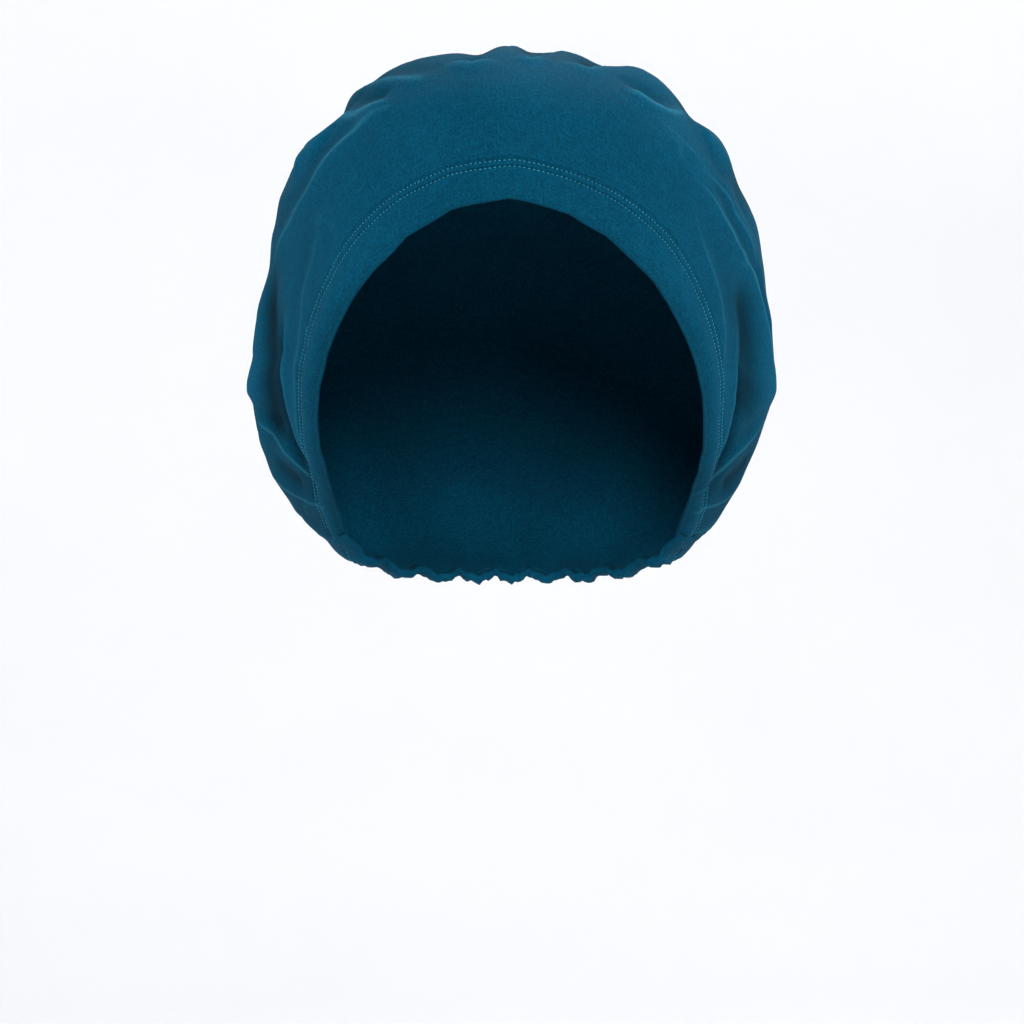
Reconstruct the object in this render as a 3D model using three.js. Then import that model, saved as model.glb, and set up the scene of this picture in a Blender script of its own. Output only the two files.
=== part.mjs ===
// A bouffant scrub cap in its worn form: a loose woven crown, a turned hem round the face and an elasticated
// casing across the nape. Millimetres, +Z up, the face opening towards -Y, the wearer's left towards +X.
// The origin is where the top of the wearer's head touches the inside of the crown.
import * as THREE from 'three';

// Cloth: one layer in the crown, two in the turned hem, and the casing with its elastic inside
const clothWall = 1.2;
const hemWall = 2.2;
const casingWall = 2.8;
const bandWidth = 16;
const seamGap = 0.3;

// Edge of the opening, each size measured from the origin
const browReach = 76;
const browDrop = 43;
const templeHalfWidth = 77.2;
const templeReach = 3;
const templeDrop = 127;
const napeReach = 77;
const napeDrop = 190;
const openingUpper = 1.78;
const openingLower = 3.7;

// Outside of the crown
const crownRise = 23.5;
const crownHalfWidth = 108.5;
const backReach = 139;
const lobeReach = 8;
const rimReach = 4;
const rimFade = 0.22;
const foldWidth = 8;
const foldDepth = 4;

// Half of the edge's turn taken up by the elastic, and the gathers it draws
const casingHalfTurn = 52;
const gatherCount = 10;
const gatherHeight = 2.6;
const gatherReach = 48;
const hemPuff = 0.35;

// Columns round the opening, and how far along the crown each ring of the mesh lies
const frontColumns = 60;
const columnsPerGather = 5;
const ringShares = [
  0, 0.025, 0.05, 0.08, 0.11, 0.14, 0.17, 0.2, 0.235, 0.27, 0.305,
  0.34, 0.375, 0.42, 0.47, 0.53, 0.59, 0.66, 0.73, 0.81, 0.89, 0.95,
];
const meridianSteps = 160;

const clothColour = 0x0f5670;
const hemColour = 0x115a76;
const casingColour = 0x0d4c64;

const degrees = Math.PI / 180;
const depthSpan = browReach + backReach;
const heightSpan = napeDrop + crownRise;
const sideCornerSoftness = 0.14;
const turnLength = 0.85 * crownHalfWidth * degrees;
const shareLength = depthSpan;

// Sections of the crown from the edge of the opening to its closed end. front and back are where a section
// crosses the middle plane, side is its widest point. Depths are shares of the way from the brow to the back,
// heights shares of the way from the nape edge to the top, widths shares of the crown's half width. upper and
// lower say how square the section is above and below its widest point.
const sectionColumns = [
  'along', 'frontDepth', 'frontHeight', 'sideWidth', 'sideDepth', 'sideHeight',
  'backDepth', 'backHeight', 'upper', 'lower',
];
const sectionRows = [
  [0.09, -0.005, 0.778, 0.774, 0.433, 0.309, 0.781, 0.009, 1.85, 3.9],
  [0.2, 0.037, 0.878, 0.871, 0.507, 0.333, 0.86, 0.061, 1.95, 3.6],
  [0.33, 0.153, 0.958, 0.959, 0.586, 0.356, 0.935, 0.159, 2.05, 3.1],
  [0.47, 0.33, 1.0, 1.0, 0.665, 0.393, 0.986, 0.272, 2.2, 2.6],
  [0.62, 0.53, 0.988, 0.972, 0.735, 0.5, 1.0, 0.389, 2.25, 2.2],
  [0.76, 0.698, 0.923, 0.816, 0.814, 0.618, 0.991, 0.496, 2.2, 2.1],
  [0.89, 0.833, 0.815, 0.5, 0.884, 0.688, 0.958, 0.6, 2.1, 2.1],
  [1.0, 0.916, 0.703, 0.0, 0.916, 0.703, 0.916, 0.703, 2.0, 2.0],
];

// How much further the crown's outline stands out than its plain sections, seen from the front, in shares of
// lobeReach. The angle runs from straight up towards the wearer's left, about the middle at outlineHeight.
const outlineHeight = 0.492;
const reachColumns = ['angle', 'reach'];
const outlineRows = [
  [-180, 0.4], [-152, 1], [-142, 0.9], [-132, 0.6], [-120, 0.45], [-112, 0.3], [-104, 0.1], [-96, -0.4],
  [-88, -0.55], [-77, -0.65], [-68, -0.4], [-60, -0.1], [-50, 0.1], [-41, -0.1], [-33, 0.33], [-22, 0.22],
  [-12, 0.05], [0, 0.05], [10, -0.02], [18, 0.05], [27, 0.35], [36, 0.22], [48, 0.33], [56, 0.2],
  [66, 0.1], [76, -0.05], [86, -0.25], [97, -0.2], [107, 0.15], [120, 0.3], [132, 0.5], [142, 0.85],
  [152, 1], [180, 0.4],
];

// How far the opening's edge lies outside its plain curve, in shares of rimReach, against the turn round it
// from the brow towards the wearer's left
const rimRows = [
  [-180, 0], [-132, 0], [-122, -0.42], [-114, -0.36], [-106, 0], [-98, 0.22], [-90, 0.27], [-82, 0.1],
  [-76, 0], [-70, 0.28], [-62, 0.52], [-54, 0.75], [-44, 0.78], [-32, 0.93], [-17.5, 0.84], [-1, 0.45],
  [17, 0.3], [29, 0.32], [47, 0.34], [54, 0.24], [60, 0.04], [66, -0.06], [72, -0.2], [78, -0.31],
  [84, -0.14], [90, 0], [98, 0.11], [106, -0.12], [114, -0.4], [122, -0.46], [132, 0], [180, 0],
];

// Folds of the crown, each through three points. A turn is an angle round the opening from the brow, with the
// wearer's left positive, and a share is how far the point lies from the hem to the crown's closed end. width
// and height are shares of foldWidth and foldDepth, a height below nought is a dent, and lean is the side
// that falls steeply.
const foldColumns = [
  'turnA', 'shareA', 'turnB', 'shareB', 'turnC', 'shareC', 'width', 'height', 'lean',
];
const foldRows = [
  // Wearer's right
  [-39, 0.14, -53, 0.184, -69, 0.275, 0.88, 0.8, -1],
  [-54, 0.09, -73, 0.04, -98, 0.02, 0.75, 0.5, -1],
  [-74, 0.11, -92, 0.06, -112, 0.01, 0.75, 0.8, -1],
  [-68, 0.21, -84, 0.14, -104, 0.14, 1, -1, 0],
  [-103, 0.2, -104, 0.11, -111, 0.02, 0.75, 0.75, 1],
  [-118, 0.2, -119, 0.1, -118, 0.01, 0.75, 0.75, 1],
  [-131, 0.2, -129, 0.1, -127, 0.01, 0.75, 0.65, 1],
  [-111, 0.14, -112, 0.08, -114, 0.02, 0.62, -0.65, 0],
  [-70, 0.34, -86, 0.27, -104, 0.3, 1.5, 0.6, 0],
  // Wearer's left
  [48, 0.18, 56, 0.21, 66, 0.255, 1.25, 0.55, 1],
  [49, 0.145, 66, 0.18, 90, 0.232, 0.88, 0.85, 1],
  [53, 0.075, 70, 0.045, 92, 0.02, 0.62, 0.45, 1],
  [76, 0.08, 92, 0.04, 112, 0.01, 0.75, 0.8, 1],
  [68, 0.13, 82, 0.125, 98, 0.12, 1, -0.95, 0],
  [101, 0.18, 106, 0.08, 112, 0.01, 0.75, 0.75, -1],
  [120, 0.18, 121, 0.08, 119, 0.01, 0.75, 0.7, -1],
  [131, 0.2, 129, 0.1, 127, 0.01, 0.75, 0.65, -1],
  [112, 0.15, 114, 0.09, 115, 0.03, 0.62, -0.6, 0],
  [84, 0.32, 96, 0.3, 108, 0.32, 1.5, 0.6, 0],
  // Short gathers over the crest
  [-40, 0.34, -34, 0.255, -28, 0.22, 0.75, 0.4, 1],
  [-31, 0.4, -27, 0.31, -22, 0.26, 0.75, 0.4, 1],
  [40, 0.34, 36, 0.28, 29, 0.23, 0.75, 0.4, -1],
  [-41, 0.28, -42, 0.38, -45, 0.5, 0.75, -0.55, 0],
  [-29, 0.28, -30, 0.38, -32, 0.52, 0.62, -0.4, 0],
  [-7, 0.27, -7, 0.36, -8, 0.5, 0.75, -0.65, 0],
  [-1, 0.26, -1, 0.34, -1, 0.46, 0.75, 0.45, 0],
  [4, 0.27, 4, 0.36, 5, 0.48, 0.62, -0.55, 0],
  [9, 0.27, 10, 0.36, 11, 0.46, 0.75, 0.35, 0],
  [19, 0.28, 20, 0.38, 22, 0.52, 0.88, -0.75, 0],
  [28, 0.28, 29, 0.38, 31, 0.52, 1.25, 0.45, 0],
  [38, 0.28, 40, 0.38, 43, 0.5, 0.75, -0.7, 0],
  [53, 0.26, 55, 0.34, 58, 0.48, 0.88, -0.65, 0],
];
const foldSteps = 12;

const readTable = (columns, rows) => rows.map(
  (row) => Object.fromEntries(columns.map((name, index) => [name, row[index]])),
);

const depthAt = (share) => share * depthSpan - browReach;
const heightAt = (share) => share * heightSpan - napeDrop;

const sections = [
  {
    along: 0,
    frontY: -browReach, frontZ: -browDrop,
    sideX: templeHalfWidth, sideY: templeReach, sideZ: -templeDrop,
    backY: napeReach, backZ: -napeDrop,
    upper: openingUpper, lower: openingLower,
  },
  ...readTable(sectionColumns, sectionRows).map((row) => ({
    along: row.along,
    frontY: depthAt(row.frontDepth), frontZ: heightAt(row.frontHeight),
    sideX: row.sideWidth * crownHalfWidth, sideY: depthAt(row.sideDepth), sideZ: heightAt(row.sideHeight),
    backY: depthAt(row.backDepth), backZ: heightAt(row.backHeight),
    upper: row.upper, lower: row.lower,
  })),
];
const outline = readTable(reachColumns, outlineRows);
const rim = readTable(reachColumns, rimRows);

function smoothStep(from, to, value) {
  const share = Math.min(Math.max((value - from) / (to - from), 0), 1);
  return share * share * (3 - 2 * share);
}

// How fast a size changes at a row. At the closed end the crown runs smoothly across to its other side.
const oppositeNames = { frontY: 'backY', frontZ: 'backZ', backY: 'frontY', backZ: 'frontZ' };
function sectionSlope(index, name) {
  if (index === sections.length - 1) {
    const last = sections[index - 1];
    const across = name === 'sideX' ? -last.sideX : last[oppositeNames[name] ?? name];
    return (across - last[name]) / 2 / (sections[index].along - last.along);
  }
  const before = sections[Math.max(index - 1, 0)];
  const after = sections[Math.min(index + 1, sections.length - 1)];
  return (after[name] - before[name]) / (after.along - before.along);
}

// One size of the section at a place between two rows of the table
function sectionValue(along, name) {
  let index = sections.length - 2;
  while (index > 0 && sections[index].along > along) {
    index -= 1;
  }
  const first = sections[index];
  const second = sections[index + 1];
  const step = second.along - first.along;
  const t = (along - first.along) / step;
  return (2 * t ** 3 - 3 * t ** 2 + 1) * first[name]
    + (t ** 3 - 2 * t ** 2 + t) * step * sectionSlope(index, name)
    + (-2 * t ** 3 + 3 * t ** 2) * second[name]
    + (t ** 3 - t ** 2) * step * sectionSlope(index + 1, name);
}

function reachAt(table, angle) {
  let index = table.length - 2;
  while (index > 0 && table[index].angle > angle) {
    index -= 1;
  }
  const first = table[index];
  const second = table[index + 1];
  return first.reach + (second.reach - first.reach) * smoothStep(first.angle, second.angle, angle);
}

// A point of the crown's outside before its folds
function plainPoint(turn, along) {
  const c = Math.cos(turn * degrees);
  const s = Math.sin(turn * degrees);
  const upper = sectionValue(along, 'upper');
  const lower = sectionValue(along, 'lower');
  const square = lower + (upper - lower) * (0.5 + 0.5 * Math.tanh(4 * c));
  const reach = (Math.abs(c) ** square + Math.abs(s) ** square) ** (-1 / square);
  const full = (1 + Math.hypot(1, sideCornerSoftness)) / 2;
  const towardsFront = reach * (c + Math.hypot(c, sideCornerSoftness)) / 2 / full;
  const towardsBack = reach * (Math.hypot(c, sideCornerSoftness) - c) / 2 / full;
  const sideY = sectionValue(along, 'sideY');
  const sideZ = sectionValue(along, 'sideZ');
  const point = new THREE.Vector3(
    sectionValue(along, 'sideX') * s * reach,
    sideY + (sectionValue(along, 'frontY') - sideY) * towardsFront
      + (sectionValue(along, 'backY') - sideY) * towardsBack,
    sideZ + (sectionValue(along, 'frontZ') - sideZ) * towardsFront
      + (sectionValue(along, 'backZ') - sideZ) * towardsBack,
  );
  const middle = heightAt(outlineHeight);
  const radius = Math.max(Math.hypot(point.x, point.z - middle), 1);
  const angle = Math.atan2(point.x, point.z - middle) / degrees;
  const stretch = lobeReach * reachAt(outline, angle) * smoothStep(0.02, 0.28, along)
    * (1 - smoothStep(0.62, 0.95, along)) * smoothStep(0.15, 0.6, radius / crownHalfWidth);
  point.x += point.x / radius * stretch;
  point.z += (point.z - middle) / radius * stretch;
  const signedTurn = turn > 180 ? turn - 360 : turn;
  const pull = rimReach * reachAt(rim, signedTurn) * (1 - smoothStep(0, rimFade, along));
  const fromFace = Math.max(Math.hypot(point.x, point.z + templeDrop), 1);
  point.x += point.x / fromFace * pull;
  point.z += (point.z + templeDrop) / fromFace * pull;
  return point;
}

// The line over the crown from the opening's edge to the closed end, with the length at each step
function meridianAt(turn) {
  const lengths = [0];
  let last = plainPoint(turn, 0);
  for (let step = 1; step <= meridianSteps; step += 1) {
    const next = plainPoint(turn, step / meridianSteps);
    lengths.push(lengths[step - 1] + next.distanceTo(last));
    last = next;
  }
  return lengths;
}

function alongAt(lengths, length) {
  let step = 1;
  while (step < meridianSteps && lengths[step] < length) {
    step += 1;
  }
  const part = (length - lengths[step - 1]) / (lengths[step] - lengths[step - 1]);
  return (step - 1 + part) / meridianSteps;
}

function normalAt(turn, along) {
  const nearEnd = Math.min(along, 0.985);
  const aroundTurn = plainPoint(turn + 0.5, nearEnd).sub(plainPoint(turn - 0.5, nearEnd));
  const before = Math.max(nearEnd - 0.004, 0);
  const alongCrown = plainPoint(turn, nearEnd + 0.004).sub(plainPoint(turn, before));
  return aroundTurn.cross(alongCrown).normalize();
}

// Where a fold runs, as short straight steps in millimetres over the cloth
const folds = readTable(foldColumns, foldRows).map((row) => {
  const steps = [];
  for (let step = 0; step <= foldSteps; step += 1) {
    const t = step / foldSteps;
    const a = (2 * t - 1) * (t - 1);
    const b = 4 * t * (1 - t);
    const c = t * (2 * t - 1);
    steps.push([
      (a * row.turnA + b * row.turnB + c * row.turnC) * turnLength,
      (a * row.shareA + b * row.shareB + c * row.shareC) * shareLength,
    ]);
  }
  return { steps, width: row.width * foldWidth, height: row.height * foldDepth, lean: row.lean };
});

// The height of one fold at a point: a rounded ridge, or one with a steep side and a valley beyond it
function foldRise(fold, across, up) {
  let nearest = Infinity;
  let side = 0;
  let place = 0;
  for (let step = 0; step < foldSteps; step += 1) {
    const [startX, startY] = fold.steps[step];
    const [endX, endY] = fold.steps[step + 1];
    const dx = endX - startX;
    const dy = endY - startY;
    const t = Math.min(Math.max(((across - startX) * dx + (up - startY) * dy) / (dx * dx + dy * dy), 0), 1);
    const offX = across - startX - dx * t;
    const offY = up - startY - dy * t;
    const distance = Math.hypot(offX, offY);
    if (distance < nearest) {
      nearest = distance;
      side = Math.sign(dx * offY - dy * offX);
      place = (step + t) / foldSteps;
    }
  }
  if (nearest > fold.width * 3.2) {
    return 0;
  }
  const taper = smoothStep(0, 0.3, place) * (1 - smoothStep(0.72, 1, place));
  if (side * fold.lean <= 0) {
    return fold.height * taper * Math.exp(-((nearest / fold.width) ** 2));
  }
  const steep = Math.exp(-((nearest / (0.55 * fold.width)) ** 2));
  const valley = 0.45 * Math.exp(-(((nearest - 1.25 * fold.width) / (0.55 * fold.width)) ** 2));
  return fold.height * taper * (steep - valley);
}

// How far the gathers of the elastic lift the cloth, fading out over the crown
function gatherRise(turn, length) {
  const fromNape = Math.abs(turn) > 180 ? 360 - Math.abs(turn) : Math.abs(turn);
  const offNape = 180 - fromNape;
  if (offNape >= casingHalfTurn) {
    return 0;
  }
  const wave = Math.cos(offNape / casingHalfTurn * gatherCount * Math.PI);
  const edge = 1 - smoothStep(0.8, 1, offNape / casingHalfTurn);
  const fade = 1 - smoothStep(bandWidth, bandWidth + gatherReach, length);
  return gatherHeight / 2 * wave * edge * fade;
}

function crownRiseAt(turn, share, length) {
  const signedTurn = turn > 180 ? turn - 360 : turn;
  let rise = gatherRise(turn, length);
  for (const fold of folds) {
    rise += foldRise(fold, signedTurn * turnLength, share * shareLength);
  }
  return rise;
}

// Columns round the whole opening, the front ones first, from one end of the casing to the other
const gatherColumns = gatherCount * columnsPerGather;
const frontTurn = 180 - casingHalfTurn;
const turns = [];
for (let column = 0; column < frontColumns; column += 1) {
  turns.push(-frontTurn + 2 * frontTurn * column / frontColumns);
}
for (let column = 0; column < gatherColumns; column += 1) {
  turns.push(frontTurn + 2 * casingHalfTurn * column / gatherColumns);
}
const meridians = new Map(turns.map((turn) => [turn, meridianAt(turn)]));

// A closed body from loops of points, each loop one cross-section, the ends capped unless the loops go round
function sweepLoops(loops, closedRound) {
  const size = loops[0].length;
  const positions = loops.flat().flatMap((point) => [point.x, point.y, point.z]);
  const faces = [];
  const count = closedRound ? loops.length : loops.length - 1;
  for (let loop = 0; loop < count; loop += 1) {
    const here = loop * size;
    const there = ((loop + 1) % loops.length) * size;
    for (let corner = 0; corner < size; corner += 1) {
      const next = (corner + 1) % size;
      faces.push(here + corner, there + corner, there + next);
      faces.push(here + corner, there + next, here + next);
    }
  }
  if (!closedRound) {
    const end = (loops.length - 1) * size;
    for (let corner = 1; corner < size - 1; corner += 1) {
      faces.push(0, corner, corner + 1);
      faces.push(end, end + corner + 1, end + corner);
    }
  }
  return makeGeometry(positions, faces);
}

function makeGeometry(positions, faces) {
  const geometry = new THREE.BufferGeometry();
  geometry.setAttribute('position', new THREE.Float32BufferAttribute(positions, 3));
  geometry.setIndex(faces);
  geometry.computeVertexNormals();
  return geometry;
}

// Cross-section of the hem or the casing: points, each so far from the edge and so far out of the cloth
function bandProfile(puff, wall) {
  const corners = [
    [0.04, 0], [0.16, puff], [0.5, puff], [0.78, puff], [1, 0],
    [1, -wall], [0.5, -wall], [0.04, -wall], [0, -wall / 2],
  ];
  return corners.map(([share, out]) => [share * bandWidth, out]);
}

function bandLoop(turn, profile, meridian, shift) {
  return profile.map(([length, out]) => {
    const along = alongAt(meridian, length);
    return plainPoint(turn, along).addScaledVector(normalAt(turn, along), out + shift);
  });
}

function buildFrontHem() {
  const profile = bandProfile(hemPuff, hemWall);
  const loops = [];
  for (let column = 0; column <= frontColumns; column += 1) {
    const turn = -frontTurn + 2 * frontTurn * column / frontColumns;
    loops.push(bandLoop(turn, profile, meridianAt(turn), 0));
  }
  return sweepLoops(loops, false);
}

function buildNapeCasing() {
  const profile = bandProfile(hemPuff, casingWall);
  const gapTurn = 0.35;
  const start = frontTurn + gapTurn;
  const sweep = 2 * (casingHalfTurn - gapTurn);
  const loops = [];
  for (let column = 0; column <= gatherColumns; column += 1) {
    const turn = start + sweep * column / gatherColumns;
    loops.push(bandLoop(turn, profile, meridianAt(turn), gatherRise(turn, 0)));
  }
  return sweepLoops(loops, false);
}

function buildCrown() {
  const outside = [];
  const inside = [];
  const poleNormal = new THREE.Vector3();
  for (const share of ringShares) {
    for (const turn of turns) {
      const meridian = meridians.get(turn);
      const start = bandWidth + seamGap;
      const length = start + share * (meridian[meridianSteps] - start);
      const along = alongAt(meridian, length);
      const normal = normalAt(turn, along);
      const rise = crownRiseAt(turn, share, length);
      const point = plainPoint(turn, along);
      outside.push(point.clone().addScaledVector(normal, rise));
      inside.push(point.clone().addScaledVector(normal, rise - clothWall));
      if (share === ringShares[ringShares.length - 1]) {
        poleNormal.add(normal);
      }
    }
  }
  poleNormal.normalize();
  const pole = plainPoint(0, 1);
  const columns = turns.length;
  const rings = ringShares.length;
  const insideStart = columns * rings + 1;
  const points = [
    ...outside, pole.clone(), ...inside, pole.clone().addScaledVector(poleNormal, -clothWall),
  ];
  const faces = [];
  const addQuad = (a, b, c, d) => faces.push(a, b, c, a, c, d);
  for (let column = 0; column < columns; column += 1) {
    const next = (column + 1) % columns;
    for (let ring = 0; ring < rings - 1; ring += 1) {
      const low = ring * columns;
      const high = low + columns;
      addQuad(low + column, low + next, high + next, high + column);
      addQuad(
        insideStart + low + next, insideStart + low + column,
        insideStart + high + column, insideStart + high + next,
      );
    }
    addQuad(column, insideStart + column, insideStart + next, next);
    const last = (rings - 1) * columns;
    faces.push(last + column, last + next, columns * rings);
    faces.push(insideStart + last + next, insideStart + last + column, insideStart + columns * rings);
  }
  return makeGeometry(points.flatMap((point) => [point.x, point.y, point.z]), faces);
}

function addPiece(group, name, geometry, colour, roughness) {
  const material = new THREE.MeshStandardMaterial({ color: colour, roughness, metalness: 0 });
  const mesh = new THREE.Mesh(geometry, material);
  mesh.name = name;
  group.add(mesh);
}

const scrubCap = new THREE.Group();
scrubCap.name = 'scrub_cap';
addPiece(scrubCap, 'crown', buildCrown(), clothColour, 0.9);
addPiece(scrubCap, 'front_hem', buildFrontHem(), hemColour, 0.88);
addPiece(scrubCap, 'nape_casing', buildNapeCasing(), casingColour, 0.92);

export default scrubCap;
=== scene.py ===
import math

import bpy
import numpy as np
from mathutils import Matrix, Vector


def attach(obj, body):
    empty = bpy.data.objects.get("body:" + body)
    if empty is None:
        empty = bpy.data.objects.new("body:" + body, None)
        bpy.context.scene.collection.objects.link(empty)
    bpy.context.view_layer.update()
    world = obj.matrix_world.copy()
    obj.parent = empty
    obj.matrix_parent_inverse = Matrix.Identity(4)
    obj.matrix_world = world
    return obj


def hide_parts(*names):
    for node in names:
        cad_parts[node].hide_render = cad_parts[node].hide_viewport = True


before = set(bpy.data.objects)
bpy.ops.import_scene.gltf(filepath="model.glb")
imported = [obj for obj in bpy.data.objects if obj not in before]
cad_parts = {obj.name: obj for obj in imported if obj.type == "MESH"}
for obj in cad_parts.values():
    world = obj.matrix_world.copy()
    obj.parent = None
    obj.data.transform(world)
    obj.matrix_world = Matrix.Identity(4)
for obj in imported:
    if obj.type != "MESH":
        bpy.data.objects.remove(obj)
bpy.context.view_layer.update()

# The cap is worked out in millimetres, in the frame's own axes, and turned into metres as each mesh is made
millimetre = 0.001

# Driving sizes of the cap, the same as in the frame's solids
cap = {
    "browReach": 76.0, "browDrop": 43.0,
    "templeHalfWidth": 77.2, "templeReach": 3.0, "templeDrop": 127.0,
    "napeReach": 77.0, "napeDrop": 190.0,
    "openingUpper": 1.78, "openingLower": 3.7,
    "crownRise": 23.5, "crownHalfWidth": 108.5, "backReach": 139.0,
    "lobeReach": 8.0, "lobeMiddle": 0.492, "rimReach": 4.0, "rimFade": 0.22,
    "lobeFrom": (0.02, 0.28), "lobeTo": (0.62, 0.95), "lobeNear": (0.15, 0.6),      # where lobes start and end
    "bandWidth": 16.0,
    "casingHalfTurn": 52.0,
    "foldWidth": 8.0, "foldDepth": 4.0,
    "sideSoftness": 0.14,
}
depthSpan = cap["browReach"] + cap["backReach"]
heightSpan = cap["napeDrop"] + cap["crownRise"]
turnLength = 0.85 * cap["crownHalfWidth"] * math.pi / 180      # millimetres of cloth to a degree
shareLength = depthSpan                                        # and to the whole way over the crown
closedFrom = 0.985                                             # beyond it the skin closes, and has no direction

# along, front depth and height, side width, depth and height, back depth and height, squareness above and below
sectionRows = [
    (0.09, -0.005, 0.778, 0.774, 0.433, 0.309, 0.781, 0.009, 1.85, 3.9),
    (0.2, 0.037, 0.878, 0.871, 0.507, 0.333, 0.86, 0.061, 1.95, 3.6),
    (0.33, 0.153, 0.958, 0.959, 0.586, 0.356, 0.935, 0.159, 2.05, 3.1),
    (0.47, 0.33, 1.0, 1.0, 0.665, 0.393, 0.986, 0.272, 2.2, 2.6),
    (0.62, 0.53, 0.988, 0.972, 0.735, 0.5, 1.0, 0.389, 2.25, 2.2),
    (0.76, 0.698, 0.923, 0.816, 0.814, 0.618, 0.991, 0.496, 2.2, 2.1),
    (0.89, 0.833, 0.815, 0.5, 0.884, 0.688, 0.958, 0.6, 2.1, 2.1),
    (1.0, 0.916, 0.703, 0.0, 0.916, 0.703, 0.916, 0.703, 2.0, 2.0),
]

# Angle of the front view from straight up, and how far the outline stands out there as a share of lobeReach
outlineRows = [
    (-180, 0.4), (-152, 1), (-142, 0.9), (-132, 0.6), (-120, 0.45), (-112, 0.3), (-104, 0.1), (-96, -0.4),
    (-88, -0.55), (-77, -0.65), (-68, -0.4), (-60, -0.1), (-50, 0.1), (-41, -0.1), (-33, 0.33), (-22, 0.22),
    (-12, 0.05), (0, 0.05), (10, -0.02), (18, 0.05), (27, 0.35), (36, 0.22), (48, 0.33), (56, 0.2),
    (66, -0.05), (76, -0.2), (86, -0.25), (97, -0.2), (107, 0.15), (120, 0.3), (132, 0.5), (142, 0.85),
    (152, 1), (180, 0.4),
]

# Turn round the opening, and how far the edge lies outside its plain curve there as a share of rimReach
rimRows = [
    (-180, 0), (-132, 0), (-122, -0.42), (-114, -0.36), (-106, 0), (-98, 0.5), (-90, 0.58), (-82, 0.42),
    (-76, 0.3), (-70, 0.5), (-62, 0.62), (-54, 0.75), (-44, 0.78), (-32, 0.93), (-17.5, 0.84), (-1, 0.45),
    (17, 0.3), (29, 0.32), (47, 0.34), (54, 0.24), (60, 0.14), (66, 0.12), (72, 0.06), (78, 0), (84, 0.16),
    (90, 0.3), (98, 0.4), (106, 0.1), (114, -0.4), (122, -0.46), (132, 0), (180, 0),
]


def smoothStep(low, high, value):
    share = np.clip((np.asarray(value, float) - low) / (high - low), 0, 1)
    return share * share * (3 - 2 * share)


def placeSections():
    rows = [(
        0.0, -cap["browReach"], -cap["browDrop"],
        cap["templeHalfWidth"], cap["templeReach"], -cap["templeDrop"],
        cap["napeReach"], -cap["napeDrop"], cap["openingUpper"], cap["openingLower"],
    )]
    for along, frontY, frontZ, sideX, sideY, sideZ, backY, backZ, upper, lower in sectionRows:
        rows.append((
            along, frontY * depthSpan - cap["browReach"], frontZ * heightSpan - cap["napeDrop"],
            sideX * cap["crownHalfWidth"], sideY * depthSpan - cap["browReach"],
            sideZ * heightSpan - cap["napeDrop"], backY * depthSpan - cap["browReach"],
            backZ * heightSpan - cap["napeDrop"], upper, lower,
        ))
    return np.array(rows)


sections = placeSections()


def sectionSlopes():
    slopes = np.zeros_like(sections)
    final = len(sections) - 1
    for index in range(final):
        before, after = sections[max(index - 1, 0)], sections[index + 1]
        slopes[index] = (after - before) / (after[0] - before[0])
    last = sections[final - 1]
    across = last[[0, 6, 7, 3, 4, 5, 1, 2, 8, 9]]      # the crown runs smoothly over its closed end
    across[3] = -last[3]
    slopes[final] = (across - last) / 2 / (sections[final][0] - last[0])
    return slopes


slopes = sectionSlopes()


def sizesAt(along):
    index = np.clip(np.searchsorted(sections[:, 0], along, side="right") - 1, 0, len(sections) - 2)
    step = (sections[index + 1, 0] - sections[index, 0])[..., None]
    part = (along - sections[index, 0])[..., None] / step
    square, cube = part**2, part**3
    value = (
        (2 * cube - 3 * square + 1) * sections[index] + (cube - 2 * square + part) * step * slopes[index]
        + (-2 * cube + 3 * square) * sections[index + 1] + (cube - square) * step * slopes[index + 1]
    )
    return [value[..., column] for column in range(1, 10)]


def tableAt(table, angle):
    rows = np.array(table, float)
    index = np.clip(np.searchsorted(rows[:, 0], angle, side="right") - 1, 0, len(rows) - 2)
    blend = smoothStep(0, 1, (angle - rows[index, 0]) / (rows[index + 1, 0] - rows[index, 0]))
    return rows[index, 1] + (rows[index + 1, 1] - rows[index, 1]) * blend


# A point of the cap's plain form, before any fold: how far round the opening, and how far up from its edge
def plainSkin(turn, along):
    frontY, frontZ, sideX, sideY, sideZ, backY, backZ, upper, lower = sizesAt(along)
    forward, aside = np.cos(np.radians(turn)), np.sin(np.radians(turn))
    soft = cap["sideSoftness"]
    square = lower + (upper - lower) * (0.5 + 0.5 * np.tanh(4 * forward))
    reach = (np.abs(forward) ** square + np.abs(aside) ** square) ** (-1 / square)
    full = (1 + math.hypot(1, soft)) / 2
    towardsFront = reach * (forward + np.hypot(forward, soft)) / 2 / full
    towardsBack = reach * (np.hypot(forward, soft) - forward) / 2 / full
    x = sideX * aside * reach
    y = sideY + (frontY - sideY) * towardsFront + (backY - sideY) * towardsBack
    z = sideZ + (frontZ - sideZ) * towardsFront + (backZ - sideZ) * towardsBack
    middle = cap["lobeMiddle"] * heightSpan - cap["napeDrop"]
    radius = np.maximum(np.hypot(x, z - middle), 1)
    angle = np.degrees(np.arctan2(x, z - middle))
    stretch = cap["lobeReach"] * tableAt(outlineRows, angle)
    stretch = stretch * smoothStep(*cap["lobeFrom"], along) * (1 - smoothStep(*cap["lobeTo"], along))
    stretch = stretch * smoothStep(*cap["lobeNear"], radius / cap["crownHalfWidth"])
    x, z = x + x / radius * stretch, z + (z - middle) / radius * stretch
    signedTurn = (turn + 180) % 360 - 180
    pull = cap["rimReach"] * tableAt(rimRows, signedTurn) * (1 - smoothStep(0, cap["rimFade"], along))
    fromFace = np.maximum(np.hypot(x, z + cap["templeDrop"]), 1)
    return np.stack([x + x / fromFace * pull, y, z + (z + cap["templeDrop"]) / fromFace * pull], -1)


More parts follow.
